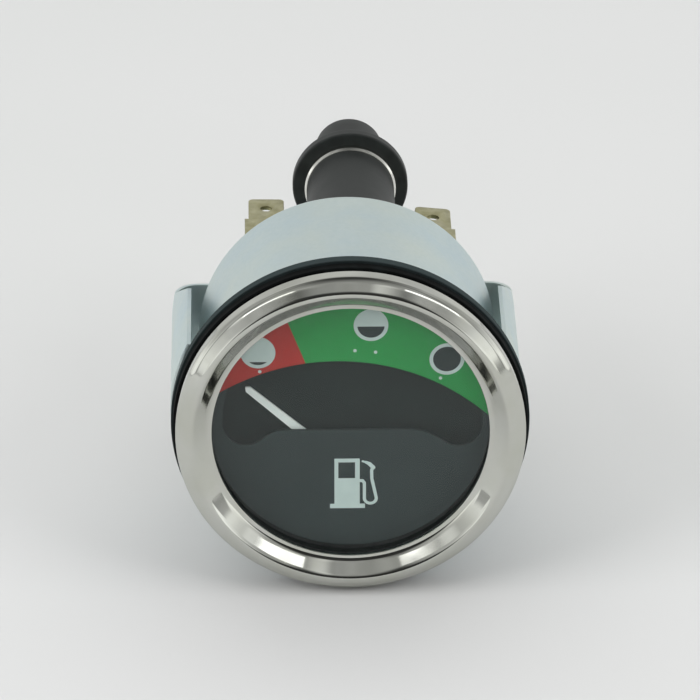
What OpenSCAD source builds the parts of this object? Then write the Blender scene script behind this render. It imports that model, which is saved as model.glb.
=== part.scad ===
/* [Bezel and glass] */
// Outer radius of the chrome bezel
bezel_r = 30; // [29.6:0.05:30.4]
// Radius of the ridge that stands furthest forward
ridge_r = 27.3; // [26.8:0.05:27.8]
// Distance of the ridge in front of the panel
ridge_front = 8.6; // [8.3:0.05:8.9]
// Radius of the bezel's opening
lip_r = 23.7; // [23:0.05:23.8]
// Thickness of the flat glass
glass_t = 2; // [1.5:0.1:2.1]

/* [Casing and seal] */
// Outer radius of the drawn steel casing, which passes the panel hole
casing_r = 26; // [25.8:0.05:26.2]
// Distance of the casing's back behind the panel
casing_back = 35.25; // [34.5:0.05:36]
// Sheet thickness of the casing
casing_sheet = 0.8; // [0.6:0.1:0.9]
// Radius of the rounded edge at the casing's back
casing_round = 3; // [2:0.25:3.5]
// Outer radius of the rubber panel seal
seal_r = 30.7; // [30.5:0.05:31]

/* [Dial and pointer] */
// Distance of the dial's printed face in front of the panel
dial_front = 1.35; // [1.2:0.05:1.5]
// Height of the pointer's pivot on the dial, below the centre
pivot_z = -9.7; // [-10:0.1:-9]
// Length of the pointer from its pivot to its tip
pointer_len = 24; // [20:0.1:24.5]
// Angle of the resting pointer, anticlockwise from three o'clock
pointer_rest = 138.1; // [130:0.1:142]
// Angle that the pointer sweeps from empty to full
pointer_sweep = 96; // [80:0.5:100]
// Radius of the three level symbols
symbol_r = 2.95; // [2.5:0.05:3.1]

/* [Rear fittings] */
// Turn of the rear fittings about the gauge's axis, clockwise seen from the front
rear_turn = 3.8; // [-4:0.1:4]
// Sideways place of the lamp holder among the rear fittings
lamp_x = 0.3; // [-1:0.05:1]
// Height of the lamp holder above the axis
lamp_z = 13.6; // [13:0.1:14]
// Outer radius of the lamp holder's barrel
barrel_r = 7.85; // [7.7:0.05:8]
// Radius of the lamp holder's finger flange
flange_r = 10.37; // [9.5:0.01:10.5]
// Distance of the flange's rear face behind the panel
flange_back = 65.6; // [60:0.1:66]
// Radius of the hub behind the flange
hub_r = 6.1; // [5.5:0.1:6.5]
// Length of that hub
hub_len = 14.2; // [12:0.1:16]
// Width of the terminal blades
blade_w = 6.3; // [4.8:0.1:6.3]
// Thickness of the terminal blades
blade_t = 0.8; // [0.5:0.1:0.8]
// Distance of the blades' tips behind the panel
blade_tip = 55.2; // [52:0.1:58]
// Height of the blades above the axis
blade_z = 13.7; // [13.5:0.1:15]
// Sideways distance of each blade from the middle
blade_x = 14.7; // [14.5:0.05:15]
// Turn of the left terminal on its rivet, clockwise seen from the front
left_twist = -3; // [-4:0.5:4]
// Turn of the right terminal on its rivet, clockwise seen from the front
right_twist = 2; // [-4:0.5:4]

/* [Clamp bracket] */
// Radius that the clamp's arms are curved to, on their outer face
arm_r = 30.3; // [30:0.1:31.5]
// Half the height of each arm near the panel
arm_half = 13.1; // [10:0.1:14]
// Sheet thickness of the clamp
clamp_sheet = 0.6; // [0.5:0.1:1.6]
// Radius of the bends between the arms and the strap
clamp_round = 4; // [2.5:0.25:4]
// Distance of the strap's front face behind the panel
strap_front = 39.75; // [39.2:0.05:40]
// Sideways place of the clamp and its studs
clamp_x = -0.5; // [-1:0.05:1]
// Radius of the mounting studs
stud_r = 2; // [1.9:0.05:2]
// Sideways distance of each stud from the clamp's middle
stud_x = 16; // [15.5:0.1:16.5]
// Height of the studs, below the axis
stud_z = -2; // [-3:0.1:-1.5]
// Distance of the studs' ends behind the panel
stud_end = 58; // [52:0.5:60]

/* [Hidden] */
$fn = 96;

// Places along the axis are y values, zero at the panel and positive behind it
ridge_y = -ridge_front;
ridge_round = 0.9;
wall_y = -6.35;
shoulder_y = -7.2;
cone_y = -6.3;
cone_r = 24.6;
// The ridge's corner before rounding, ahead of the rounded ridge
ridge_corner_y = ridge_y - 0.34;
lip_y = -6;
bezel_sheet = 0.5;
bezel_back_y = -3.95;
flange_y = bezel_back_y - bezel_sheet;
casing_flange_r = 29.1;
neck_r = 25.7;
inside_r = casing_r - casing_sheet;
disc_r = inside_r - 0.2;
seal_front_r = 30.35;
seal_step_y = -2;

gasket_t = 0.5;
lens_y = lip_y + 0.55 + gasket_t;
spacer_y = lens_y + glass_t;
dial_y = -dial_front;
dial_t = 0.5;
ink_t = 0.04;
pointer_y = dial_y + dial_t + 0.4;
pointer_t = 0.4;
pointer_back_y = pointer_y + pointer_t;
backplate_y = pointer_back_y + 0.55;
backplate_t = 0.4;
front_bridge_y = 4;
rear_bridge_y = 22;
bridge_t = 1.2;
shaft_r = 0.6;
shaft_end = rear_bridge_y + bridge_t + 0.2;

// The slot in the dial: an arc over it, two round ends and a level lower edge
slot_arc = [-2.3, -25];
slot_arc_r = 36.76;
scale_centre = [0.35, 0];
scale_r = 22.2;
band_r = 24.6;
slot_floor_z = -1.5;
left_end = [-17.9, -0.4];
left_end_r = 3.95;
left_floor_x = -11.2;
right_end = [18.6, -0.8];
right_end_r = 4;
right_floor_x = 9.4;

// The red part of the band ends on a line through these two points
red_end = [-7.71, 11.61];
red_end_top = [-10.23, 18.11];
symbols = [[-15.69, 13.45], [3.51, 18.5], [16.42, 11.95]];
levels = [-1.75, -0.2, symbol_r];
symbol_line = 0.62;
dots = [[-15.43, 9.87], [0.8, 13.73], [4.3, 13.41], [15.38, 8.36]];
dot_r = 0.3;
ink_gap = 0.02;

// The fuel pump symbol: its cabinet, window and foot
pump_left = -2.73;
pump_right = 1.62;
pump_top = -7.06;
pump_foot = -16.7;
window = [-2.06, -10.86];
window_size = [2.88, 3.09];
hose_w = 0.55;

// Half the pointer's width at its pivot and where its blunt point starts
pointer_root = 0.96;
pointer_tip = 0.57;
hub_bore_r = 1.22;
pin_r = 0.5;
pin_ring = 8;
pin_turn = asin((pointer_root + pin_r + 0.05) / pin_ring);
pin_angles = [pointer_rest + pin_turn, pointer_rest - pointer_sweep - pin_turn];

casing_back_in = casing_back - casing_sheet;
coil_x = 10.5;
coil_y0 = front_bridge_y + bridge_t + 0.8;
coil_y1 = rear_bridge_y - 0.8;
pillar_x = 20;
pillar_z = -5;
spacer_x = 12;
spacer_z = -14.5;
resistor_z = -16;

barrel_y = casing_back + 0.3;
flange_t = 2.2;
shell_rim = 1.5;
sleeve_y = flange_back - flange_t - shell_rim;
shell_r = 7.2;
socket_r = 6.3;
bulb_r = 4.6;
bulb_y = casing_back_in - 5;
base_y = casing_back_in + 1.5;
terminal_foot_y = casing_back + 2;
shoulder_w = blade_w + 1.35;
blade_len = 8;
rivet_r = 1.5;
rivet_drop = 4.2;
foot_drop = rivet_drop + 3.6;
stud_nut_t = 2.5;
nut_r = 4.5;
strap_back = strap_front + clamp_sheet;
strap_top = 5.7;
strap_low = -9;
arm_front = 2.05;
arm_taper_y = 23.6;
washer_t = 0.8;
nut_y = strap_back + washer_t + 0.3;
nut_len = 5;

// Half sections of radius and y are turned about the gauge's axis
module turned() {
    rotate([-90, 0, 0]) rotate_extrude() children();
}

// A tube or rod along the axis, between two y values
module tube(r, bore, y0, y1) {
    translate([0, y0, 0]) rotate([-90, 0, 0]) difference() {
        cylinder(r = r, h = y1 - y0);
        if (bore > 0) translate([0, 0, -1]) cylinder(r = bore, h = y1 - y0 + 2);
    }
}

// A flat outline seen from the front, cut from sheet between two y values
module plate(y0, y1) {
    translate([0, y1, 0]) rotate([90, 0, 0]) linear_extrude(y1 - y0) children();
}

// A straight wire from one point to another
module wire(a, b, r) {
    d = b - a;
    turn = [0, acos(d.z / norm(d)), atan2(d.y, d.x)];
    translate(a) rotate(turn) cylinder(r = r, h = norm(d), $fn = 24);
}

// The lamp holder and terminals sit in a frame that is turned a little about the axis
module rear_place() {
    rotate([0, rear_turn, 0]) children();
}

module lamp_place() {
    rear_place() translate([lamp_x, 0, lamp_z]) children();
}

module pivot_place() {
    translate([0, 0, pivot_z]) children();
}

module stud_place() {
    translate([clamp_x, 0, 0]) both_sides() translate([stud_x, 0, stud_z]) children();
}

// Children in both mirror images about the middle
module both_sides() {
    children();
    mirror([1, 0, 0]) children();
}

function unit(v) = v / norm(v);

// Centre of a circle of radius q that touches both sides of the corner p
function corner_centre(a, p, b, q) =
    p + unit(unit(a - p) + unit(b - p)) * q / sin(acos(unit(a - p) * unit(b - p)) / 2);

// Point where that circle touches the side towards a
function corner_foot(a, p, b, q) =
    p + unit(a - p) * q / tan(acos(unit(a - p) * unit(b - p)) / 2);

// The chrome ring is rolled over the casing's flange at the back
module bezel() {
    wall = [bezel_r - 0.15, wall_y];
    shoulder = [bezel_r - 0.8, shoulder_y];
    ridge = [ridge_r, ridge_corner_y];
    cone = [cone_r, cone_y];
    color("gainsboro") turned() {
        polygon([[bezel_r, bezel_back_y], wall, shoulder,
            corner_foot(shoulder, ridge, cone, ridge_round),
            corner_foot(cone, ridge, shoulder, ridge_round), cone, [lip_r, lip_y],
            [lip_r, lip_y + bezel_sheet], [cone_r + 0.1, cone_y + bezel_sheet + 0.1],
            [ridge_r, ridge_y + 0.7], [bezel_r - 1.4, shoulder_y + 0.45],
            [bezel_r - 0.6, wall_y + 0.35], [bezel_r - 0.6, flange_y],
            [casing_flange_r - 0.9, flange_y], [casing_flange_r - 0.9, bezel_back_y]]);
        translate(corner_centre(shoulder, ridge, cone, ridge_round)) circle(r = ridge_round);
    }
}

module lens() {
    color("azure", 0.4) tube(disc_r - 0.1, 0, lens_y, spacer_y);
}

module lens_gasket() {
    color("#202020") tube(disc_r - 0.1, lip_r + 0.1, lens_y - gasket_t, lens_y);
}

module spacer_ring() {
    color("#252827") tube(disc_r, lip_r + 0.05, spacer_y, dial_y - ink_t - 0.01);
}

// The seal is stepped: a lower ring behind the bezel, then a higher one on the panel
module panel_seal() {
    bore = casing_r + 0.05;
    color("#1c2424") turned() polygon([
        [bore, bezel_back_y], [seal_front_r, bezel_back_y], [seal_front_r, seal_step_y],
        [seal_r - 0.15, seal_step_y], [seal_r, seal_step_y + 0.15], [seal_r, -0.15],
        [seal_r - 0.15, 0], [bore, 0]]);
}

// Half section of a cup of the given radius and depth with a rounded edge
module cup_section(r, depth, round_r) {
    square([r, depth - round_r]);
    square([r - round_r, depth]);
    translate([r - round_r, depth - round_r]) circle(r = round_r);
}

// The casing has a flange in the bezel and a narrower neck through the seal
module casing() {
    mouth = flange_y - casing_sheet;
    color("#c5d1ce") difference() {
        union() {
            turned() cup_section(casing_r, casing_back, casing_round);
            tube(neck_r, 0, mouth, 1);
            tube(casing_flange_r, 0, mouth, flange_y);
        }
        turned() translate([0, mouth - 1])
            cup_section(inside_r, casing_back_in - mouth + 1, casing_round - casing_sheet);
        lamp_place() tube(shell_r + 0.3, 0, casing_back - 3, casing_back + 1);
        rear_place() both_sides() translate([blade_x, 0, blade_z - rivet_drop])
            tube(2.55, 0, casing_back - 3, casing_back + 1);
        stud_place() tube(stud_r + 0.05, 0, casing_back - 3, casing_back + 1);
        both_sides() translate([spacer_x, 0, spacer_z])
            tube(1.3, 0, casing_back - 3, casing_back + 1);
    }
}

// A rounded corner between the slot's level edge and one of its round ends
module slot_corner(floor_x, end, end_r) {
    dx = end.x - floor_x;
    dz = end.y - slot_floor_z;
    q = (dx * dx + dz * dz - end_r * end_r) / (2 * (end_r - dz));
    centre = [floor_x, slot_floor_z - q];
    foot = end + unit(centre - end) * end_r;
    difference() {
        polygon([[floor_x, slot_floor_z + 1], [floor_x, slot_floor_z], centre, foot, end,
            [end.x, slot_floor_z + 1]]);
        translate(centre) circle(r = q);
    }
}

// The slot that the pointer is read through
module slot_outline() {
    intersection() {
        translate(slot_arc) circle(r = slot_arc_r);
        translate(scale_centre) circle(r = scale_r);
        translate([-30, slot_floor_z]) square([60, 30]);
    }
    translate(left_end) circle(r = left_end_r);
    translate(right_end) circle(r = right_end_r);
    slot_corner(left_floor_x, left_end, left_end_r);
    slot_corner(right_floor_x, right_end, right_end_r);
}

module dial_face() {
    color("#3f4645") plate(dial_y, dial_y + dial_t) difference() {
        circle(r = disc_r);
        slot_outline();
    }
}

// The coloured band above the slot, with room for the white symbols and dots
module band_outline() {
    difference() {
        circle(r = band_r);
        translate(slot_arc) circle(r = slot_arc_r);
        for (s = symbols) translate(s) circle(r = symbol_r + ink_gap);
        for (d = dots) translate(d) circle(r = dot_r + ink_gap);
    }
}

// Everything on the left of the line where the red part of the band ends
module red_side() {
    along = red_end_top - red_end;
    polygon([red_end - along, red_end + 2 * along, [-40, 40], [-40, -10]]);
}

module green_marking() {
    color("#3d7c4d") plate(dial_y - ink_t, dial_y) difference() {
        band_outline();
        red_side();
    }
}

module red_marking() {
    color("#93443f") plate(dial_y - ink_t, dial_y) intersection() {
        band_outline();
        red_side();
    }
}

// A round tank seen from the side: light where it is empty, open where there is fuel
module level_symbol(level) {
    difference() {
        circle(r = symbol_r);
        intersection() {
            circle(r = symbol_r - symbol_line);
            translate([-symbol_r, -symbol_r]) square([2 * symbol_r, symbol_r + level]);
        }
    }
}

// A line with round ends
module stroke(a, b, w) {
    d = b - a;
    translate(a) rotate(atan2(d.y, d.x)) translate([0, -w / 2]) square([norm(d), w]);
    translate(a) circle(r = w / 2);
    translate(b) circle(r = w / 2);
}

// The hose leaves the cabinet, hangs down in a bow and rises to the nozzle
module pump_hose() {
    bow_r = 1.03;
    bow = [3.45, -14.75];
    top = [3.66, -9.3];
    middle = [3.7, -11];
    knob = [3.95, -8.8];
    stroke([pump_right - 0.3, -11.35], [2.1, -11.35], hose_w);
    stroke([2.1, -11.35], [bow.x - bow_r, -11.8], hose_w);
    stroke([bow.x - bow_r, -11.8], [bow.x - bow_r, bow.y], hose_w);
    translate(bow) difference() {
        circle(r = bow_r + hose_w / 2);
        circle(r = bow_r - hose_w / 2);
        translate([-2, 0]) square([4, 2]);
    }
    stroke([bow.x + bow_r, bow.y], middle, hose_w);
    stroke(middle, top, hose_w);
    stroke(top, knob, hose_w);
    stroke(knob, [3.3, -8.1], hose_w + 0.15);
    stroke([3.3, -8.1], [2.75, -7.8], hose_w);
    stroke([2.75, -7.8], [2.1, -7.58], hose_w - 0.2);
}

module pump_symbol() {
    difference() {
        translate([pump_left, pump_foot])
            square([pump_right - pump_left, pump_top - pump_foot]);
        translate(window) square(window_size);
    }
    translate([-3.5, pump_foot]) square([6.03, 0.85]);
    pump_hose();
}

module white_markings() {
    color("#dfe5e4") plate(dial_y - ink_t, dial_y) {
        for (i = [0:2]) translate(symbols[i]) level_symbol(levels[i]);
        for (d = dots) translate(d) circle(r = dot_r);
        pump_symbol();
    }
}

module dial_ring() {
    color("#2c2f2f") tube(disc_r, lip_r, dial_y + dial_t, backplate_y);
}

module pointer_backplate() {
    color("#343b39") difference() {
        tube(disc_r, 0, backplate_y, backplate_y + backplate_t);
        pivot_place() tube(1.5, 0, backplate_y - 1, backplate_y + 2);
        for (a = pin_angles) pivot_place() rotate([0, -a, 0]) translate([pin_ring, 0, 0])
            tube(pin_r + 0.02, 0, backplate_y - 1, backplate_y + 2);
    }
}

module backplate_ring() {
    color("#8d9290") tube(disc_r, lip_r - 0.2, backplate_y + backplate_t, front_bridge_y);
}

// Two pins that stop the pointer at empty and at full
module stop_pins() {
    color("silver") for (a = pin_angles) pivot_place() rotate([0, -a, 0])
        translate([pin_ring, 0, 0]) tube(pin_r, 0, pointer_y - 0.1, backplate_y + 0.8);
}

// The blade lies along the pointer's angle and narrows to a blunt point
module pointer() {
    tail = 6;
    tip = pointer_len - 0.55;
    blunt = 0.1;
    color("#e4e8e7") pivot_place() rotate([0, -pointer_rest, 0])
        plate(pointer_y, pointer_back_y) difference() {
            union() {
                polygon([[-tail, -0.9], [0, -pointer_root], [tip, -pointer_tip],
                    [pointer_len, -blunt], [pointer_len, blunt], [tip, pointer_tip],
                    [0, pointer_root], [-tail, 0.9]]);
                circle(r = 2.2);
            }
            circle(r = hub_bore_r);
        }
}

module pointer_hub() {
    color("#303030") pivot_place() {
        tube(hub_bore_r - 0.02, shaft_r + 0.02, pointer_y - 0.1, pointer_back_y);
        tube(2.4, shaft_r + 0.02, pointer_back_y, pointer_back_y + 0.25);
    }
}

module balance_weight() {
    color("darkgoldenrod") pivot_place() rotate([0, -pointer_rest, 0])
        translate([-5, 0, 0]) tube(1.8, 0, pointer_back_y, pointer_back_y + 0.25);
}

module pointer_shaft() {
    color("silver") pivot_place() tube(shaft_r, 0, pointer_y - 0.1, shaft_end);
}

// The iron vane that the two coils pull round
module armature() {
    color("dimgray") pivot_place() intersection() {
        tube(3.2, shaft_r + 0.02, 12, 15);
        rotate([0, -pointer_rest, 0]) translate([-4, 10, -1.6]) cube([8, 10, 3.2]);
    }
}

module bearing(y) {
    color("goldenrod") pivot_place() tube(1.6, shaft_r + 0.05, y - 0.4, y + bridge_t + 0.4);
}

module front_bearing() {
    bearing(front_bridge_y);
}

module rear_bearing() {
    bearing(rear_bridge_y);
}

// A strip across the casing with holes for the bearing, cores, pillars and screws
module bridge(y, screw_holes) {
    color("#b9a86a") plate(y, y + bridge_t) difference() {
        intersection() {
            circle(r = disc_r - 0.4);
            translate([-30, -18]) square([60, 17]);
        }
        translate([0, pivot_z]) circle(r = 1.62);
        for (side = [-1, 1]) {
            translate([side * coil_x, pivot_z]) circle(r = 2.02);
            translate([side * pillar_x, pillar_z]) circle(r = 1.02);
            if (screw_holes) translate([side * spacer_x, spacer_z]) circle(r = 1.25);
        }
    }
}

module front_bridge() {
    bridge(front_bridge_y, false);
}

module rear_bridge() {
    bridge(rear_bridge_y, true);
}

module bridge_pillars() {
    color("silver") both_sides() translate([pillar_x, 0, pillar_z]) {
        tube(1.8, 0, front_bridge_y + bridge_t, rear_bridge_y);
        tube(1, 0, front_bridge_y - 0.3, rear_bridge_y + bridge_t + 0.3);
    }
}

module bobbin() {
    rim = 0.8;
    color("#d8cfae") translate([coil_x, 0, pivot_z]) {
        tube(2.8, 2.04, coil_y0, coil_y1);
        tube(6.3, 2.04, coil_y0, coil_y0 + rim);
        tube(6.3, 2.04, coil_y1 - rim, coil_y1);
    }
}

module coil() {
    color("#9a4a20") translate([coil_x, 0, pivot_z])
        tube(5.8, 2.84, coil_y0 + 0.82, coil_y1 - 0.82);
}

module core() {
    color("dimgray") translate([coil_x, 0, pivot_z])
        tube(2, 0, front_bridge_y - 0.3, rear_bridge_y + bridge_t + 0.3);
}

module left_bobbin() {
    mirror([1, 0, 0]) bobbin();
}

module right_bobbin() {
    bobbin();
}

module left_coil() {
    mirror([1, 0, 0]) coil();
}

module right_coil() {
    coil();
}

module left_core() {
    mirror([1, 0, 0]) core();
}

module right_core() {
    core();
}

// A small resistor whose leads reach the two spacers
module calibration_resistor() {
    y = rear_bridge_y + bridge_t + 2.2;
    reach = 9.87;
    color("#b8a78a") wire([-5, y, resistor_z], [5, y, resistor_z], 1.6);
    color("silver") wire([-reach, y, resistor_z], [-5, y, resistor_z], 0.35);
    color("silver") wire([5, y, resistor_z], [reach, y, resistor_z], 0.35);
}

// Wires from the coils' rims to the inner ends of the terminals' rivets
module coil_leads() {
    start = [coil_x, coil_y1 - 0.4, pivot_z + 6.3];
    turn = [coil_x, coil_y1 - 0.4, 1];
    color("#9a4a20") both_sides() {
        wire(start, turn, 0.35);
        wire(turn, [14.85, casing_back_in - 2.15, 10.2], 0.35);
    }
}

module movement_spacers() {
    color("silver") both_sides() translate([spacer_x, 0, spacer_z])
        tube(2.4, 1.25, rear_bridge_y + bridge_t, casing_back_in);
}

// Slotted screws through the casing's back
module movement_screws() {
    head_t = 1.4;
    color("silver") both_sides() translate([spacer_x, 0, spacer_z]) {
        tube(1.2, 0, rear_bridge_y, casing_back);
        difference() {
            tube(2.6, 0, casing_back, casing_back + head_t);
            translate([-3, casing_back + head_t / 2, -0.35]) cube([6, 2, 0.7]);
        }
    }
}

// A blade with a hole and rounded corners, a wider shank and a foot on the insulator
module terminal(side, twist) {
    tip = blade_tip - terminal_foot_y;
    shoulder = tip - blade_len;
    half = blade_w / 2;
    wide = shoulder_w / 2;
    corner_r = 0.9;
    color("#a6a273") rear_place()
        translate([side * blade_x, terminal_foot_y, blade_z - rivet_drop])
            rotate([0, twist, 0]) difference() {
                union() {
                    translate([0, 0, rivet_drop - blade_t / 2]) linear_extrude(blade_t)
                        difference() {
                            union() {
                                translate([-wide, 0]) square([shoulder_w, shoulder]);
                                translate([-half, 0]) square([blade_w, tip - corner_r]);
                                translate([corner_r - half, 0])
                                    square([blade_w - 2 * corner_r, tip]);
                                both_sides() translate([half - corner_r, tip - corner_r])
                                    circle(r = corner_r);
                            }
                            translate([0, tip - 3.9]) circle(r = 1.05);
                        }
                    translate([-wide, 0, rivet_drop - foot_drop])
                        cube([shoulder_w, blade_t, foot_drop + blade_t / 2]);
                }
                tube(rivet_r + 0.02, 0, -1, 2);
            }
}

module left_terminal() {
    terminal(-1, left_twist);
}

module right_terminal() {
    terminal(1, right_twist);
}

module terminal_insulators() {
    bore = rivet_r + 0.02;
    color("#5a3b22") rear_place() both_sides()
        translate([blade_x, 0, blade_z - rivet_drop]) {
            tube(4.4, bore, casing_back, terminal_foot_y);
            tube(2.5, bore, casing_back_in, casing_back);
            tube(4, bore, casing_back_in - 1, casing_back_in);
        }
}

module terminal_rivets() {
    foot_back = terminal_foot_y + blade_t;
    color("#b4ae86") rear_place() both_sides()
        translate([blade_x, 0, blade_z - rivet_drop]) {
            tube(rivet_r, 0, casing_back_in - 1, foot_back);
            tube(2.7, 0, foot_back, foot_back + 0.9);
            tube(2.4, 0, casing_back_in - 1.9, casing_back_in - 1);
        }
}

module mounting_studs() {
    head_y = casing_back_in - 0.1;
    color("#c9cfcd") stud_place() {
        tube(stud_r, 0, head_y, stud_end - 0.8);
        tube(stud_r - 0.4, 0, stud_end - 0.8, stud_end);
        tube(3.2, 0, head_y - 1.5, head_y);
    }
}

// Hexagon nuts that hold the studs in the casing
module stud_nuts() {
    color("#c9cfcd") stud_place() translate([0, casing_back, 0]) rotate([-90, 0, 0])
        difference() {
            cylinder(r = 4.04, h = stud_nut_t, $fn = 6);
            translate([0, 0, -1]) cylinder(r = stud_r + 0.05, h = stud_nut_t + 2);
        }
}

// Side view of the clamp: wide arms that narrow towards the bends and the strap
module clamp_side() {
    bend_y = strap_back - clamp_round;
    polygon([[arm_front, -arm_half], [arm_taper_y, -arm_half], [bend_y, strap_low],
        [strap_back + 1, strap_low], [strap_back + 1, strap_top], [bend_y, strap_top],
        [arm_taper_y, arm_half], [arm_front, arm_half]]);
}

// The clamp is cut from a round cup, so its arms and bends follow the casing
module clamp_bracket() {
    color("#c5d1ce") difference() {
        intersection() {
            translate([clamp_x, 0, 0]) turned() cup_section(arm_r, strap_back, clamp_round);
            translate([-40, 0, 0]) rotate([90, 0, 90]) linear_extrude(80) clamp_side();
        }
        translate([clamp_x, 0, 0]) turned()
            cup_section(arm_r - clamp_sheet, strap_front, clamp_round - clamp_sheet);
        stud_place() tube(stud_r + 0.3, 0, strap_front - 1, strap_back + 1);
        lamp_place() tube(flange_r + 0.8, 0, strap_front - 1, strap_back + 1);
    }
}

// Split spring washers
module lock_washers() {
    color("#9fa7a5") stud_place() difference() {
        tube(3.9, stud_r + 0.3, strap_back, strap_back + washer_t);
        translate([2, strap_back - 1, -0.4]) cube([3, 4, 0.8]);
    }
}

// A round nut with grooves cut for the fingers
module thumb_nut(side) {
    grooves = 24;
    collar = 1;
    color("#b9a86a") translate([clamp_x + side * stud_x, nut_y, stud_z]) rotate([-90, 0, 0]) difference() {
        union() {
            translate([0, 0, collar]) cylinder(r = nut_r, h = nut_len - collar);
            cylinder(r = nut_r - 0.6, h = collar);
        }
        translate([0, 0, -1]) cylinder(r = stud_r + 0.06, h = nut_len + 2);
        for (i = [1:grooves]) rotate(360 * i / grooves) translate([nut_r + 0.1, 0, 1.5])
            cylinder(r = 0.35, h = nut_len, $fn = 16);
    }
}

module left_thumb_nut() {
    thumb_nut(-1);
}

module right_thumb_nut() {
    thumb_nut(1);
}

module lamp_barrel() {
    color("#2b2e2d") lamp_place() tube(barrel_r, shell_r + 0.02, barrel_y, sleeve_y);
}

// The metal shell inside the barrel, whose turned rim shows as a bright ring
module lamp_shell() {
    bore = socket_r + 0.02;
    color("#d5d9d8") lamp_place() {
        tube(shell_r, bore, casing_back_in - 1, sleeve_y);
        tube(barrel_r + 0.15, bore, sleeve_y, flange_back - flange_t);
    }
}

// The flange that fingers pull on, and the hub that the lead goes through
module lamp_cap() {
    lead_r = 3;
    color("#1e2121") lamp_place() difference() {
        union() {
            tube(flange_r, 0, flange_back - flange_t, flange_back);
            turned() translate([0, flange_back - 0.1])
                cup_section(hub_r, hub_len + 0.1, 0.8);
        }
        tube(lead_r, 0, flange_back - flange_t - 1, flange_back + hub_len + 1);
    }
}

module lamp_socket() {
    color("darkgoldenrod") lamp_place()
        tube(socket_r, bulb_r + 0.1, casing_back_in - 0.5, casing_back_in + 16);
}

module contact_disc() {
    color("#6b4a2a") lamp_place() tube(socket_r, 1.55, sleeve_y - 6, sleeve_y - 4.5);
}

// A pin that the spring presses against the bulb's end
module contact_plunger() {
    color("darkgoldenrod") lamp_place() {
        tube(1.5, 0, sleeve_y - 11, sleeve_y - 2);
        tube(3, 0, sleeve_y - 12, sleeve_y - 11);
    }
}

module contact_spring() {
    color("silver") lamp_place() tube(2.6, 1.8, sleeve_y - 11, sleeve_y - 6);
}

// A hollow round glass with a neck that stands in the base
module bulb_glass() {
    wall = 0.4;
    neck_r = 3;
    color("lightyellow", 0.5) lamp_place() difference() {
        union() {
            translate([0, bulb_y, 0]) sphere(r = bulb_r - 0.1);
            tube(neck_r, 0, bulb_y, base_y);
        }
        translate([0, bulb_y, 0]) sphere(r = bulb_r - 0.1 - wall);
        tube(neck_r - wall, 0, bulb_y, base_y + 1);
    }
}

module bulb_base() {
    color("silver") lamp_place() {
        tube(bulb_r, 0, base_y, sleeve_y - 13);
        tube(1.6, 0, sleeve_y - 13, sleeve_y - 12);
    }
}

// A short coil between two posts on the base
module bulb_filament() {
    wire_r = 0.12;
    color("gray") lamp_place() {
        both_sides() wire([1.2, bulb_y, 0], [1.2, base_y, 0], wire_r);
        wire([-1.3, bulb_y, 0], [1.3, bulb_y, 0], wire_r);
    }
}

bezel();
lens();
lens_gasket();
spacer_ring();
panel_seal();
casing();
dial_face();
green_marking();
red_marking();
white_markings();
dial_ring();
pointer_backplate();
backplate_ring();
stop_pins();
pointer();
pointer_hub();
balance_weight();
pointer_shaft();
armature();
front_bearing();
rear_bearing();
front_bridge();
rear_bridge();
bridge_pillars();
left_bobbin();
right_bobbin();
left_coil();
right_coil();
left_core();
right_core();
calibration_resistor();
coil_leads();
movement_spacers();
movement_screws();
left_terminal();
right_terminal();
terminal_insulators();
terminal_rivets();
mounting_studs();
stud_nuts();
clamp_bracket();
lock_washers();
left_thumb_nut();
right_thumb_nut();
lamp_barrel();
lamp_shell();
lamp_cap();
lamp_socket();
contact_disc();
contact_plunger();
contact_spring();
bulb_glass();
bulb_base();
bulb_filament();
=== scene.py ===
# %% [markdown]
# A round fuel gauge for a dashboard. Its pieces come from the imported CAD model, in metres, with the
# gauge's axis along Y, the dial looking towards -Y and Z up. This lesson gives each piece its finish,
# and remakes the turned and pressed pieces with finer, softened edges, because light catches edges.

# %% Load the frame
from math import cos, pi, radians, sin, tan

import bmesh
import bpy
from mathutils import Matrix, Quaternion, Vector


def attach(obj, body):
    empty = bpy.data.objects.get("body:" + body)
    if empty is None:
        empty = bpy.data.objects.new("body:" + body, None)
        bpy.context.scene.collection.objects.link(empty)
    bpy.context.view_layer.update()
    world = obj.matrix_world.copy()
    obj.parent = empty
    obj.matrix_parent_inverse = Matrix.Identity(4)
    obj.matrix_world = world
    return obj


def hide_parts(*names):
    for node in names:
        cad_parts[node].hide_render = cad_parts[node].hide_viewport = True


MM = 0.001
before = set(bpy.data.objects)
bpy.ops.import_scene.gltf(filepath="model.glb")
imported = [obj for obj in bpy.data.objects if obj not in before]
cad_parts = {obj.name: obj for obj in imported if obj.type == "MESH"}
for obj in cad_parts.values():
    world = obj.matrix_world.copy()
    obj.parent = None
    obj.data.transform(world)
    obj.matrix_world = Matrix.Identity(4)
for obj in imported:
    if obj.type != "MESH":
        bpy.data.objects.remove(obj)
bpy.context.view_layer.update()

# %% [markdown]
# The camera looks down on the gauge from the front, from a metre away through a long lens. Its height,
# turn and focal length were worked out from the ellipses that the bezel's circles make in the picture.
# The fit starts from one point on the gauge's axis, near the bezel's ridge, and from where the picture
# shows it.

# %% Camera
AIM_POINT = Vector((0, -7.65, 0)) * MM
CAMERA_DISTANCE = 1.0
CAMERA_HEIGHT = radians(27.848)
CAMERA_TURN = radians(1.081)
FOCAL_PIXELS = 5873.5
PICTURE_PIXELS = 700
AIM_PIXEL = Vector((350.93, 437.44))
SENSOR_WIDTH = 36

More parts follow.
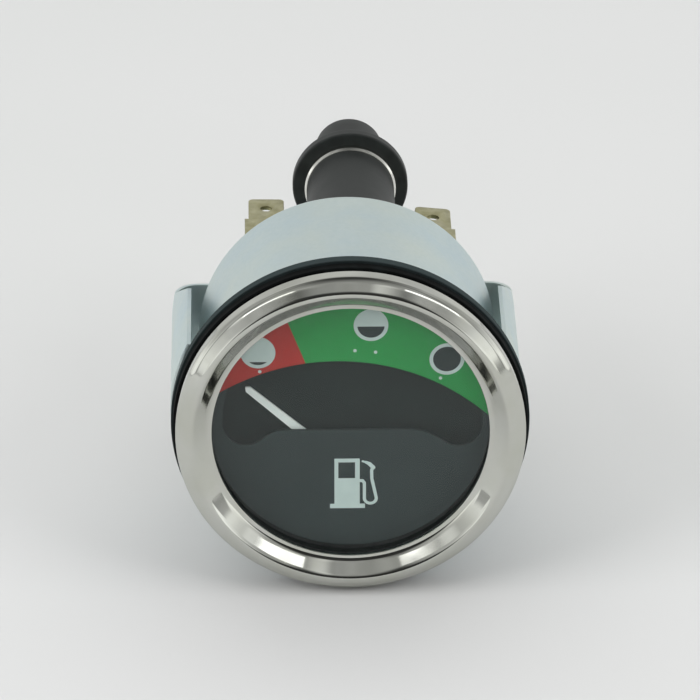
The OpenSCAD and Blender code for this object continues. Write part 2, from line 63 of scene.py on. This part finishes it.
forward = Vector((sin(CAMERA_TURN) * cos(CAMERA_HEIGHT), cos(CAMERA_TURN) * cos(CAMERA_HEIGHT),
                  -sin(CAMERA_HEIGHT)))
right = Vector((cos(CAMERA_TURN), -sin(CAMERA_TURN), 0))
up = right.cross(forward)
off_centre = AIM_PIXEL - Vector((PICTURE_PIXELS / 2, PICTURE_PIXELS / 2))
aim = forward - right * off_centre.x / FOCAL_PIXELS + up * off_centre.y / FOCAL_PIXELS

camera = bpy.data.objects.new("camera", bpy.data.cameras.new("camera"))
bpy.context.scene.collection.objects.link(camera)
camera.data.sensor_width = SENSOR_WIDTH
camera.data.lens = FOCAL_PIXELS / PICTURE_PIXELS * SENSOR_WIDTH
camera.location = AIM_POINT - forward * CAMERA_DISTANCE
camera.rotation_mode = "QUATERNION"
camera.rotation_quaternion = aim.to_track_quat("-Z", "Y")
bpy.context.scene.camera = camera
print("lens:", round(camera.data.lens, 1), "mm")

# %% [markdown]
# Colours are written as the hex values seen on a screen. A shader works with light itself, so one
# function turns each value to linear light. A second function adds a node, sets it and links it. The
# others take up what most materials repeat, so that each one stays short enough to read in one go.

# %% Colour and node helpers
def colour(hex_value):
    """Linear colour with full alpha from an sRGB value such as c8c6c2."""
    parts = [int(hex_value[i:i + 2], 16) / 255 for i in (0, 2, 4)]
    return [p / 12.92 if p <= 0.04045 else ((p + 0.055) / 1.055) ** 2.4 for p in parts] + [1]


def node(tree, kind, inputs={}, **settings):
    """Adds one shader node. An input is a value or the output socket that feeds it."""
    made = tree.nodes.new("ShaderNode" + kind)
    for name, value in settings.items():
        setattr(made, name, value)
    for socket, value in inputs.items():
        if isinstance(value, bpy.types.NodeSocket):
            tree.links.new(value, made.inputs[socket])
        else:
            made.inputs[socket].default_value = value
    return made


def start_material(name, inputs):
    """A material with its own sockets set, its node tree, shader and place on the object."""
    made = bpy.data.materials.new(name)
    made.use_nodes = True
    tree = made.node_tree
    shader = tree.nodes["Principled BSDF"]
    for socket, value in inputs.items():
        shader.inputs[socket].default_value = value
    return made, tree, shader, node(tree, "TexCoord").outputs["Object"]


def per_mm(size):
    """Texture scale that makes a pattern's features this many millimetres wide."""
    return 1 / (size * MM)


def set_stops(ramp, *stops):
    """Gives a colour ramp its stops, from low to high: a position and a colour each."""
    elements = ramp.color_ramp.elements
    while len(elements) < len(stops):
        elements.new(0.5)
    for element, (position, value) in zip(elements, stops):
        element.position, element.color = position, value


def feed(tree, shader, tone=None, rough=None, bump=None):
    """Links a material's colour ramp, roughness range and bump to its shader, where it has them."""
    for source, output, socket in ((tone, "Color", "Base Color"), (rough, "Result", "Roughness"),
                                   (bump, "Normal", "Normal")):
        if source:
            tree.links.new(source.outputs[output], shader.inputs[socket])


def direction(turn, height):
    """Unit vector from the gauge to a compass turn, in degrees from straight ahead, and a height."""
    turn, height = radians(turn), radians(height)
    return Vector((sin(turn) * cos(height), -cos(turn) * cos(height), sin(height)))


print("a screen's middle grey as linear light:", round(colour("808080")[0], 3))


# %% [markdown]
# The gauge stands on a pale grey board that fills the picture. The board is painted, so it is dull and
# has only faint, wide changes of tone.

# %% Floor
FLOOR_Z = -30.75 * MM
FLOOR_HALF = 2
board, tree, shader, place = start_material("painted_grey_board", {"Roughness": 0.85})
fleck = node(tree, "TexNoise", {"Vector": place, "Scale": per_mm(220), "Detail": 2})
tone = node(tree, "ValToRGB", {"Fac": fleck.outputs["Fac"]})
set_stops(tone, (0.3, colour("d9dad9")), (0.7, colour("dedede")))
feed(tree, shader, tone)

bm = bmesh.new()
bmesh.ops.create_grid(bm, x_segments=1, y_segments=1, size=FLOOR_HALF,
                      matrix=Matrix.Translation((0, 0, FLOOR_Z)))
floor_mesh = bpy.data.meshes.new("floor")
bm.to_mesh(floor_mesh)
bm.free()
floor_mesh.materials.append(board)
floor = bpy.data.objects.new("floor", floor_mesh)
bpy.context.scene.collection.objects.link(floor)
print("floor at", round(FLOOR_Z, 5))

# %% [markdown]
# A chromed ring shows the room around it more than itself, so the room matters. It is light beside and
# behind the gauge and dark overhead. Straight ahead it is dark up to a height of 40 degrees, with a
# light band above, which draws the dark lines on the bezel. Each wall is a ramp over the height: 0 is
# straight down, 0.5 the horizon and 1 straight up. Narrow dark stands at both sides and three soft
# glows give the bezel its short dark and light marks.

# %% Room
AHEAD = [(0.49, 0.04), (0.83, 0.05), (0.87, 0.47), (0.92, 0.47), (0.94, 0.38), (1.0, 0.04)]
BESIDE = [(0.49, 1.2), (0.56, 1.3), (0.63, 0.9), (0.70, 0.55), (0.90, 0.45), (0.94, 0.35), (1.0, 0.04)]
BEHIND = [(0.49, 0.70), (0.88, 0.70), (0.94, 0.35), (1.0, 0.04)]
GREENNESS = 1.01
AHEAD_FROM, AHEAD_TO = 0.77, 0.88
BEHIND_FROM, BEHIND_TO = 0.0, -0.5
STANDS = [(0.32, 1), (0.35, 0.4), (0.395, 0.4), (0.415, 1)]
# Turn, height and half-width in degrees, and how much brighter the middle is
GLOWS = [(23, 45, 8, 0.9), (62, 27, 9, 0.9), (-61, 28, 9, 1.1)]
world = bpy.data.worlds.new("pale_room")
world.use_nodes = True
bpy.context.scene.world = world
tree = world.node_tree
tree.nodes.clear()
way = node(tree, "TexCoord").outputs["Generated"]
height = node(tree, "MapRange", {"Value": node(tree, "SeparateXYZ", {"Vector": way}).outputs["Z"],
                                 "From Min": -1, "From Max": 1})
level = node(tree, "VectorMath", {0: way, 1: (1, 1, 0)}, operation="MULTIPLY")
compass = node(tree, "VectorMath", {0: level.outputs[0]}, operation="NORMALIZE")
southing = node(tree, "VectorMath", {0: compass.outputs[0], 1: (0, -1, 0)}, operation="DOT_PRODUCT")
walls = []
for stops in (BESIDE, AHEAD, BEHIND):
    wall = node(tree, "ValToRGB", {"Fac": height.outputs["Result"]})
    set_stops(wall, *((position, (light, light * GREENNESS, light, 1)) for position, light in stops))
    walls.append(wall.outputs["Color"])
ahead = node(tree, "MapRange", {"Value": southing.outputs["Value"], "From Min": AHEAD_FROM,
                                "From Max": AHEAD_TO})
behind = node(tree, "MapRange", {"Value": southing.outputs["Value"], "From Min": BEHIND_FROM,
                                 "From Max": BEHIND_TO})
front = node(tree, "Mix", {"Factor": ahead.outputs["Result"], 6: walls[0], 7: walls[1]},
             data_type="RGBA")
room = node(tree, "Mix", {"Factor": behind.outputs["Result"], 6: front.outputs[2], 7: walls[2]},
            data_type="RGBA")
folds = node(tree, "TexNoise", {"Vector": way, "Scale": 3.5, "Detail": 3})
uneven = node(tree, "MapRange", {"Value": folds.outputs["Fac"], "From Min": 0.35, "From Max": 0.65,
                                 "To Min": 0.85, "To Max": 1.15})
stand = node(tree, "ValToRGB", {"Fac": southing.outputs["Value"]})
set_stops(stand, *((position, (light, light, light, 1)) for position, light in STANDS))
dimmed = node(tree, "Math", {0: uneven.outputs["Result"], 1: stand.outputs["Color"]},
              operation="MULTIPLY")
strength = dimmed.outputs["Value"]
for turn, lift, spread, gain in GLOWS:
    towards = node(tree, "VectorMath", {0: way, 1: direction(turn, lift)}, operation="DOT_PRODUCT")
    glow = node(tree, "MapRange", {"Value": towards.outputs["Value"], "From Min": cos(radians(spread)),
                                   "From Max": 1, "To Max": gain}, interpolation_type="SMOOTHSTEP")
    brighter = node(tree, "Math", {0: strength, 1: glow.outputs["Result"]}, operation="ADD")
    strength = brighter.outputs["Value"]
light = node(tree, "Background", {"Color": room.outputs[2], "Strength": strength})
backdrop = node(tree, "Background", {"Color": colour("d9d9d9"), "Strength": 1})
seen = node(tree, "LightPath")
mix = node(tree, "MixShader", {0: seen.outputs["Is Camera Ray"], 1: light.outputs[0],
                               2: backdrop.outputs[0]})
node(tree, "OutputWorld", {"Surface": mix.outputs[0]})
print("room:", len(walls), "walls,", len(GLOWS), "glows,", len(tree.nodes), "nodes")

# %% [markdown]
# Large soft lamps light the gauge from above and behind, from both sides and from the front. They would
# leave hard shapes in the chrome, so it doesn't mirror them. Two slanted soft boxes in front are there
# to be mirrored: they give the white patches on the bezel's lower half.

# %% Lamps
LAMP_DISTANCE = 1.6


def soft_box(name, turn, height, size, light, lean=0, mirrored=True):
    """An area lamp at a compass turn and height seen from the gauge; light is its brightness."""
    lamp = bpy.data.lights.new(name, "AREA")
    lamp.shape, lamp.size, lamp.size_y = "RECTANGLE", size[0], size[1]
    lamp.energy = light * pi * size[0] * size[1]
    thing = bpy.data.objects.new(name, lamp)
    way = direction(turn, height)
    thing.location = way * LAMP_DISTANCE
    thing.rotation_mode = "QUATERNION"
    thing.rotation_quaternion = way.to_track_quat("Z", "Y") @ Quaternion((0, 0, 1), radians(lean))
    thing.visible_glossy = mirrored
    bpy.context.scene.collection.objects.link(thing)


soft_box("ceiling_light", 180, 76, (2.4, 2.4), 0.80, mirrored=False)
soft_box("front_fill", 0, 24, (0.8, 0.5), 1.8, mirrored=False)
soft_box("left_fill", -62, 36, (1.0, 0.7), 3.3, mirrored=False)
soft_box("right_fill", 62, 36, (1.0, 0.7), 2.3, mirrored=False)
soft_box("front_left_box", -49, 39, (0.70, 0.22), 1.8, lean=48)
soft_box("front_right_box", 50, 38, (0.74, 0.22), 1.8, lean=-48)

# %% [markdown]
# Most of this gauge is turned or pressed to round shapes: bezel, seal, glass, lamp holder. Each such
# piece could be stacked from cylinders, but its softened edges would be missing. Here a piece starts as
# one flat section, its corners are bevelled to their real radii, and the outline is spun about the axis.
# Long straight runs get extra points, so that smooth shading keeps them straight.

# %% Turned pieces
MERGE_DISTANCE = 0.002 * MM
SMOOTH_UP_TO = radians(30)
ROUND_SEGMENTS = 6
ON_AXIS = 1e-9
LONG_RUN, RUN_CUTS = 0.8 * MM, 5


def finish_piece(name, bm, body, nodes, material):
    """Merges, turns faces outwards, smooths, and stands the piece in for its CAD nodes."""
    bmesh.ops.remove_doubles(bm, verts=bm.verts, dist=MERGE_DISTANCE)
    bmesh.ops.recalc_face_normals(bm, faces=bm.faces)
    for face in bm.faces:
        face.smooth = True
    mesh = bpy.data.meshes.new(name)
    bm.to_mesh(mesh)
    bm.free()
    mesh.set_sharp_from_angle(angle=SMOOTH_UP_TO)
    mesh.materials.append(material)
    thing = bpy.data.objects.new(name, mesh)
    bpy.context.scene.collection.objects.link(thing)
    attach(thing, body)
    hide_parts(*nodes)
    print(name, len(mesh.polygons), "faces")


def spun(name, outline, rounds, body, nodes, material, centre=(0, 0), steps=192):
    """Spins a section of (radius, y) corners in mm about an axis; rounds gives corner radii."""
    bm = bmesh.new()
    corners = [bm.verts.new((r * MM, y * MM, 0)) for r, y in outline]
    bm.faces.new(corners)
    for number, radius in rounds.items():
        corner = corners[number]
        arms = [edge.other_vert(corner).co - corner.co for edge in corner.link_edges]
        run = radius * MM / tan(arms[0].angle(arms[1]) / 2)
        bmesh.ops.bevel(bm, geom=[corner], offset=run, offset_type="OFFSET",
                        segments=ROUND_SEGMENTS, profile=0.5, affect="VERTICES", material=-1)
    bmesh.ops.delete(bm, geom=bm.faces[:], context="FACES_ONLY")
    on_axis = [e for e in bm.edges if all(abs(v.co.x) < ON_AXIS for v in e.verts)]
    bmesh.ops.delete(bm, geom=on_axis, context="EDGES")
    long_runs = [e for e in bm.edges if e.calc_length() > LONG_RUN]
    bmesh.ops.subdivide_edges(bm, edges=long_runs, cuts=RUN_CUTS)
    bmesh.ops.spin(bm, geom=bm.verts[:] + bm.edges[:], cent=(0, 0, 0), axis=(0, 1, 0), angle=2 * pi,
                   steps=steps, use_merge=True)
    bmesh.ops.translate(bm, verts=bm.verts, vec=(centre[0] * MM, 0, centre[1] * MM))
    finish_piece(name, bm, body, nodes, material)


# %% [markdown]
# The bezel is brass or steel sheet, pressed, polished and chrome plated. Chrome is a metal that mirrors
# a bit over half of the light. It is nearly smooth: only faint polishing marks and a slight waviness of
# the pressed sheet bend the reflections, so roughness stays low and the bump very small. The section
# runs from the panel over the rounded outer edge and the slope to the ridge, down the cone to the lip
# around the glass, and back inside the sheet.

# %% Bezel finish
chrome, tree, shader, place = start_material("polished_chrome_plate", {"Metallic": 1, "IOR": 1.5})
haze = node(tree, "TexNoise", {"Vector": place, "Scale": per_mm(7), "Detail": 4})
polish = node(tree, "MapRange", {"Value": haze.outputs["Fac"], "From Min": 0.3, "From Max": 0.75,
                                 "To Min": 0.03, "To Max": 0.10})
warmth = node(tree, "ValToRGB", {"Fac": haze.outputs["Fac"]})
set_stops(warmth, (0.35, colour("c8c9c3")), (0.7, colour("c1c2b9")))
wave = node(tree, "TexNoise", {"Vector": place, "Scale": per_mm(5), "Detail": 1})
bump = node(tree, "Bump", {"Height": wave.outputs["Fac"], "Distance": 0.02 * MM, "Strength": 0.5})
feed(tree, shader, warmth, polish, bump)
print(chrome.name, len(tree.nodes), "nodes")

# %% Bezel
spun(
    "chrome_bezel",
    [(30, -3.97), (29.9, -6.4), (29.45, -7.05), (27.3, -8.72), (24.5, -6.29), (23.7, -6.15), (23.7, -5.55),
     (24.6, -5.6), (27.3, -7.9), (28.6, -6.75), (29.4, -6), (29.4, -4.45), (28.2, -4.45), (28.2, -3.95),
     (29.9, -3.95)],
    {0: 0.05, 1: 0.6, 2: 2.5, 3: 0.9, 4: 1.2, 5: 0.12}, "case", ["bezel"], chrome, steps=256)

# %% [markdown]
# The seal between bezel and panel is a moulded rubber ring with a step. Its lower front part lies in shade
# under the bezel and is painted deep black as painted shade. The higher lip behind it catches the light
# from above, and it has been handled and has a dry grey bloom, so one rubber material goes from black to
# grey
# along Y: painted shade and light, plus the bloom, with a faint mottle and the pores of moulded rubber as
# bump.

# %% Seal
rubber, tree, shader, place = start_material("moulded_black_rubber", {"Roughness": 0.75, "IOR": 1.52,
                                                                        "Specular IOR Level": 0.12})
along = node(tree, "SeparateXYZ", {"Vector": place})
lit_rear_lip = node(tree, "MapRange", {"Value": along.outputs["Y"], "From Min": -2.3 * MM, "From Max": -1.6 * MM})
mottle = node(tree, "TexNoise", {"Vector": place, "Scale": per_mm(3), "Detail": 5})
spread = node(tree, "MapRange", {"Value": mottle.outputs["Fac"], "To Min": -0.25, "To Max": 0.25})
light_and_bloom = node(tree, "Math", {0: lit_rear_lip.outputs["Result"], 1: spread.outputs["Result"]}, operation="ADD")
# Black to grey along Y: painted shade on the front part, painted light on the rear lip, plus its grey
# bloom
painted_light_and_bloom = node(tree, "ValToRGB", {"Fac": light_and_bloom.outputs["Value"]})
set_stops(painted_light_and_bloom, (0.0, colour("060808")), (1.0, colour("323c3d")))
pores = node(tree, "TexNoise", {"Vector": place, "Scale": per_mm(0.35), "Detail": 3})
bump = node(tree, "Bump", {"Height": pores.outputs["Fac"], "Distance": 0.03 * MM, "Strength": 0.6})
feed(tree, shader, painted_light_and_bloom, bump=bump)

spun("rubber_seal",
     [(26.05, -3.95), (30.35, -3.95), (30.35, -2), (30.7, -2), (30.7, 0), (26.05, 0)],
     {1: 0.2, 3: 0.15, 4: 0.15}, "case", ["panel_seal"], rubber, steps=256)

# %% [markdown]
# The glass is a flat cut disc. It mirrors the pale floor in front, which lays a thin veil over the
# dial. A grey specular tint weakens that veil, and the part it takes away is painted reflection in the
# colours of the dial, its backplate and its inks. Real glass lets lamps through, but a shader that bends
# light makes the dial behind it dark and grainy, so rays that ask whether a lamp is hidden pass straight
# through.

# %% Glass
glass, tree, shader, place = start_material(
    "flat_window_glass", {"Base Color": colour("f4f8f6"), "Roughness": 0.0, "IOR": 1.45,
                          "Transmission Weight": 1.0, "Specular Tint": (0.6, 0.6, 0.6, 1)})
smear = node(tree, "TexNoise", {"Vector": place, "Scale": per_mm(9), "Detail": 3})
film = node(tree, "MapRange", {"Value": smear.outputs["Fac"], "From Min": 0.4, "From Max": 0.8,
                               "To Min": 0.0, "To Max": 0.004})
feed(tree, shader, rough=film)
clear = node(tree, "BsdfTransparent", {"Color": colour("f4f8f6")})
passing = node(tree, "MixShader", {0: node(tree, "LightPath").outputs["Is Shadow Ray"],
                                   1: shader.outputs[0], 2: clear.outputs[0]})
tree.links.new(passing.outputs[0], tree.nodes["Material Output"].inputs["Surface"])

spun("front_glass", [(0, -4.94), (24.9, -4.94), (24.9, -2.96), (0, -2.96)], {1: 0.15, 2: 0.15},
     "case", ["lens"], glass)

# %% [markdown]
# The casing and its clamp are drawn from steel sheet and zinc plated, then passivated, which leaves a
# pale, slightly blue, silky surface. Drawing pulls faint lines along the axis. The plating is mottled,
# with a trace of the yellow and green tints of the passivation. Metal, but far from a mirror.

# %% Zinc plate
zinc, tree, shader, place = start_material("passivated_zinc_plate", {"Metallic": 0.9, "IOR": 1.5})
cloud = node(tree, "TexNoise", {"Vector": place, "Scale": per_mm(14), "Detail": 4, "Roughness": 0.55})
tint = node(tree, "ValToRGB", {"Fac": cloud.outputs["Fac"]})
set_stops(tint, (0.3, colour("cfdfe3")), (0.72, colour("dae4df")))
crystals = node(tree, "TexNoise", {"Vector": place, "Scale": per_mm(0.8), "Detail": 3})
silk = node(tree, "MapRange", {"Value": crystals.outputs["Fac"], "From Min": 0.3, "From Max": 0.7,
                               "To Min": 0.38, "To Max": 0.52})
stretch = node(tree, "Mapping", {"Vector": place, "Scale": (1, 0.04, 1)})
drawn = node(tree, "TexNoise", {"Vector": stretch.outputs["Vector"], "Scale": per_mm(0.5), "Detail": 2})
bump = node(tree, "Bump", {"Height": drawn.outputs["Fac"], "Distance": 0.01 * MM, "Strength": 0.35})
feed(tree, shader, tint, silk, bump)
print(zinc.name, len(tree.nodes), "nodes")


# %% [markdown]
# The casing has holes in its back, and the clamp, terminals and nuts aren't round all over, so spinning
# can't make them. They are copies of the CAD meshes. Such a mesh is loose triangles: its points are
# merged, its flat faces joined, and its sharp outer edges get a tiny bevel, as deburred sheet has. The
# casing gets none: its back corner is round already, and bezel and seal hide its rim.

# %% Copies with softened edges
HARD_EDGE = radians(40)
FLAT_WITHIN = radians(0.5)
EDGE_SEGMENTS = 2


def softened(name, source, body, material, edge):
    """A merged copy of a CAD node whose sharp convex edges are bevelled by so many mm."""
    bm = bmesh.new()
    bm.from_mesh(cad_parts[source].data)
    bmesh.ops.remove_doubles(bm, verts=bm.verts, dist=MERGE_DISTANCE)
    bmesh.ops.dissolve_limit(bm, angle_limit=FLAT_WITHIN, verts=bm.verts, edges=bm.edges)
    bmesh.ops.recalc_face_normals(bm, faces=bm.faces)
    if edge:
        hard = [e for e in bm.edges if len(e.link_faces) == 2 and e.calc_face_angle_signed() > HARD_EDGE]
        bmesh.ops.bevel(bm, geom=hard, offset=edge * MM, offset_type="OFFSET", segments=EDGE_SEGMENTS,
                        profile=0.5, affect="EDGES", material=-1, clamp_overlap=True)
    finish_piece(name, bm, body, [source], material)


softened("zinc_casing", "casing", "case", zinc, edge=0)
softened("zinc_clamp", "clamp_bracket", "clamp", zinc, edge=0.12)
for source in ("mounting_studs", "stud_nuts"):
    softened("zinc_" + source, source, "case", zinc, edge=0.1)

# %% [markdown]
# The lamp holder's barrel is a push fit in the casing's back. It is moulded in a hard black plastic,
# phenolic or nylon, which is dull with a weak broad sheen. Flange and hub are one soft rubbery piece.
# Between barrel and flange the shell's turned, nickel plated rim shows as a bright line. The rim is
# sloped, so that it mirrors the light band above. The barrel has a small neck where it enters the
# casing, which keeps a dark line there.

# %% Lamp holder finishes
plastic, tree, shader, place = start_material("moulded_black_phenolic", {"IOR": 1.5,
                                                                         "Specular IOR Level": 0.4})
wear = node(tree, "TexNoise", {"Vector": place, "Scale": per_mm(4), "Detail": 5})
tone = node(tree, "ValToRGB", {"Fac": wear.outputs["Fac"]})
set_stops(tone, (0.3, colour("1f2221")), (0.75, colour("292c2b")))
sheen = node(tree, "MapRange", {"Value": wear.outputs["Fac"], "To Min": 0.38, "To Max": 0.6})
grain = node(tree, "TexNoise", {"Vector": place, "Scale": per_mm(0.4), "Detail": 2})
bump = node(tree, "Bump", {"Height": grain.outputs["Fac"], "Distance": 0.02 * MM, "Strength": 0.5})
feed(tree, shader, tone, sheen, bump)

cap_rubber, tree, shader, place = start_material("soft_black_rubber", {"IOR": 1.52, "Roughness": 0.5})
dust = node(tree, "TexNoise", {"Vector": place, "Scale": per_mm(2.5), "Detail": 6})
tone = node(tree, "ValToRGB", {"Fac": dust.outputs["Fac"]})
set_stops(tone, (0.35, colour("191c1b")), (0.8, colour("272b2a")))
bump = node(tree, "Bump", {"Height": dust.outputs["Fac"], "Distance": 0.04 * MM, "Strength": 0.4})
feed(tree, shader, tone, bump=bump)

WAVE_REPEAT = 6.28
nickel, tree, shader, place = start_material("turned_nickel_plate", {"Metallic": 1, "IOR": 1.5})
lathe = node(tree, "TexWave", {"Vector": place, "Scale": per_mm(0.3) / WAVE_REPEAT, "Distortion": 1.5},
             wave_type="BANDS", bands_direction="Y")
tone = node(tree, "ValToRGB", {"Fac": lathe.outputs["Fac"]})
set_stops(tone, (0, colour("e4e4de")), (1, colour("d8d8d0")))
gloss = node(tree, "MapRange", {"Value": lathe.outputs["Fac"], "To Min": 0.12, "To Max": 0.25})
feed(tree, shader, tone, gloss)
print("lamp holder finishes:", [m.name for m in (plastic, cap_rubber, nickel)])

# %% Lamp holder
REAR_TURN = radians(3.8)
LAMP_SIDE, LAMP_HEIGHT = 0.3, 13.6
lamp_axis = (LAMP_SIDE * cos(REAR_TURN) + LAMP_HEIGHT * sin(REAR_TURN),
             LAMP_HEIGHT * cos(REAR_TURN) - LAMP_SIDE * sin(REAR_TURN))
spun("lamp_barrel_sleeve",
     [(7.22, 35.55), (7.45, 35.55), (7.45, 36.3), (7.85, 36.4), (7.85, 61.9), (7.22, 61.9)],
     {3: 0.15, 4: 0.1}, "lamp", ["lamp_barrel"], plastic, centre=lamp_axis, steps=128)
spun("lamp_bright_shell",
     [(6.32, 33.45), (7.2, 33.45), (7.2, 61.9), (7.85, 61.9), (8.2, 62.3), (8.2, 63.4), (6.32, 63.4)],
     {1: 0.3, 4: 0.1}, "lamp", ["lamp_shell"], nickel, centre=lamp_axis, steps=128)
spun("lamp_rubber_cap",
     [(3, 63.4), (10.37, 63.4), (10.37, 65.6), (6.1, 65.6), (6.1, 79.8), (3, 79.8)],
     {1: 0.35, 2: 0.35, 3: 0.3, 4: 0.8, 5: 0.3}, "lamp", ["lamp_cap"], cap_rubber,
     centre=lamp_axis, steps=128)
print("lamp axis at", [round(v, 2) for v in lamp_axis])

# %% [markdown]
# The blades are punched from thin brass and have dulled to a pale olive. Fine scratches and darker,
# duller blotches of tarnish are what the eye reads as old brass.

# %% Terminals
brass, tree, shader, place = start_material("dulled_brass_sheet", {"Metallic": 1, "IOR": 1.5})
tarnish = node(tree, "TexNoise", {"Vector": place, "Scale": per_mm(2.2), "Detail": 6, "Roughness": 0.6})
tone = node(tree, "ValToRGB", {"Fac": tarnish.outputs["Fac"]})
set_stops(tone, (0.32, colour("a6a27b")), (0.7, colour("c1bd99")))
dull = node(tree, "MapRange", {"Value": tarnish.outputs["Fac"], "To Min": 0.5, "To Max": 0.25})
scratch = node(tree, "TexNoise", {"Vector": place, "Scale": per_mm(0.3), "Detail": 3})
bump = node(tree, "Bump", {"Height": scratch.outputs["Fac"], "Distance": 0.015 * MM, "Strength": 0.5})
feed(tree, shader, tone, dull, bump)
for source in ("left_terminal", "right_terminal", "terminal_rivets"):
    softened("brass_" + source, source, "case", brass, edge=0.08)
for source, body in (("left_thumb_nut", "left_nut"), ("right_thumb_nut", "right_nut")):
    softened("brass_" + source, source, body, brass, edge=0.1)


# %% [markdown]
# The rest are flat prints and pieces behind the glass or inside the casing. Their CAD shapes are right,
# so they keep them and only get a finish. Each is described by what it is made of: two close colours
# that blend in patches of a real size, a range of gloss, and a fine surface grain.

# %% Plain finishes
def plain_finish(name, dark, light, patch, gloss, grain, depth, inputs={}):
    """Two close colours in patches of so many mm, a roughness range, and a bump grain in mm."""
    made, tree, shader, place = start_material(name, inputs)
    patches = node(tree, "TexNoise", {"Vector": place, "Scale": per_mm(patch), "Detail": 4})
    tone = node(tree, "ValToRGB", {"Fac": patches.outputs["Fac"]})
    set_stops(tone, (0.32, colour(dark)), (0.7, colour(light)))
    rough = node(tree, "MapRange", {"Value": patches.outputs["Fac"], "To Min": gloss[0],
                                    "To Max": gloss[1]})
    fine = node(tree, "TexNoise", {"Vector": place, "Scale": per_mm(grain), "Detail": 2})
    bump = node(tree, "Bump", {"Height": fine.outputs["Fac"], "Distance": depth * MM, "Strength": 0.6})
    feed(tree, shader, tone, rough, bump)
    return made


METAL = {"Metallic": 1.0}
# Inks and enamel behind the glass hardly shine
MATT = {"Specular IOR Level": 0.1}
# The colours of dial enamel, backplate paint and inks are lighter than the real paint and inks: part of
# the glass's reflection of the floor is painted into them as painted reflection
finishes = {
    # Matt black stove enamel on the dial: takes all gloss away, so that the prints stand out
    plain_finish("matt_black_enamel", "353e3f", "394243", 6, (0.8, 0.9), 0.25, 0.0005, MATT):
        ["dial_face"],
    # The plate behind the slot has the same paint; its colour is a shade darker as painted shade, because
    # it stays in the shade
    plain_finish("matt_backplate_paint_painted_shade", "202a29", "242e2d", 5, (0.8, 0.95), 0.25, 0.0005, MATT):
        ["pointer_backplate"],
    # Screen printed inks: even, with a very fine orange peel
    plain_finish("green_screen_ink", "2c9a4e", "349f55", 4, (0.6, 0.75), 0.2, 0.006, MATT):
        ["green_marking"],
    plain_finish("red_screen_ink", "ba342e", "c23c35", 4, (0.6, 0.75), 0.2, 0.006, MATT):
        ["red_marking"],
    plain_finish("white_screen_ink", "d0dddc", "d9e5e4", 3, (0.6, 0.75), 0.2, 0.006, MATT):
        ["white_markings"],
    # White lacquer on the thin pointer
    plain_finish("white_pointer_lacquer", "f6f9f9", "fdfefe", 3, (0.4, 0.55), 0.3, 0.008): ["pointer"],
    # Black fibre, card and moulded rings that hold dial and glass
    plain_finish("black_fibre_ring", "161818", "202323", 2, (0.7, 0.9), 0.15, 0.02):
        ["spacer_ring", "dial_ring", "pointer_hub"],
    plain_finish("grey_fibre_ring", "7d8280", "8d9290", 2, (0.7, 0.9), 0.15, 0.02): ["backplate_ring"],
    plain_finish("black_gasket_rubber", "181a1a", "222525", 2, (0.6, 0.8), 0.3, 0.02): ["lens_gasket"],
    # Bright turned steel: pins, shaft, pillars, spacers and leads
    plain_finish("bright_turned_steel", "b9bab8", "cdcecb", 1.5, (0.2, 0.35), 0.2, 0.005, METAL):
        ["stop_pins", "pointer_shaft", "bridge_pillars", "movement_spacers", "movement_screws"],
    plain_finish("sprung_grey_steel", "8e9291", "a4a8a6", 1.5, (0.3, 0.5), 0.3, 0.01, METAL):
        ["lock_washers", "contact_spring"],
    # Soft iron, annealed dark grey
    plain_finish("annealed_soft_iron", "55575a", "6b6d6e", 2, (0.4, 0.6), 0.3, 0.01, METAL):
        ["armature", "left_core", "right_core"],
    # Plain machined and rolled brass, still yellow where it is sealed in
    plain_finish("machined_brass", "b89a52", "cdb06a", 2, (0.25, 0.4), 0.2, 0.006, METAL):
        ["balance_weight", "front_bearing", "rear_bearing", "front_bridge", "rear_bridge",
         "lamp_socket", "contact_plunger"],
    # Enamelled copper wire
    plain_finish("enamelled_copper_wire", "8a3f1c", "a5522a", 1, (0.3, 0.45), 0.25, 0.05, METAL):
        ["left_coil", "right_coil", "coil_leads"],
    # Cream moulded bobbins
    plain_finish("cream_nylon_bobbin", "d3c9a2", "ded6b4", 3, (0.45, 0.6), 0.4, 0.01):
        ["left_bobbin", "right_bobbin"],
    # Cement coated resistor
    plain_finish("tan_cement_coating", "a8956f", "bca985", 1, (0.7, 0.9), 0.2, 0.03):
        ["calibration_resistor"],
    # Laminated phenolic paper under the terminals
    plain_finish("brown_phenolic_board", "4a2d18", "5f3c22", 1.2, (0.45, 0.65), 0.2, 0.015):
        ["terminal_insulators", "contact_disc"],
    # Bulb's drawn cap and its filament
    plain_finish("drawn_aluminium_cap", "c4c6c7", "d6d8d8", 2, (0.25, 0.4), 0.3, 0.006, METAL):
        ["bulb_base"],
    plain_finish("coiled_tungsten", "57585a", "6b6c6e", 0.5, (0.4, 0.6), 0.1, 0.01, METAL):
        ["bulb_filament"],
    glass: ["bulb_glass"],
}
for finish, names in finishes.items():
    for name in names:
        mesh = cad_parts[name].data
        mesh.materials.clear()
        mesh.materials.append(finish)
print("finishes:", len(finishes), "for", sum(len(n) for n in finishes.values()), "nodes")

# %% [markdown]
# The picture is shown through the standard view transform. The visible pieces have to stay in the CAD
# model's box.

# %% View transform and the end
bpy.context.scene.view_settings.view_transform = "Standard"
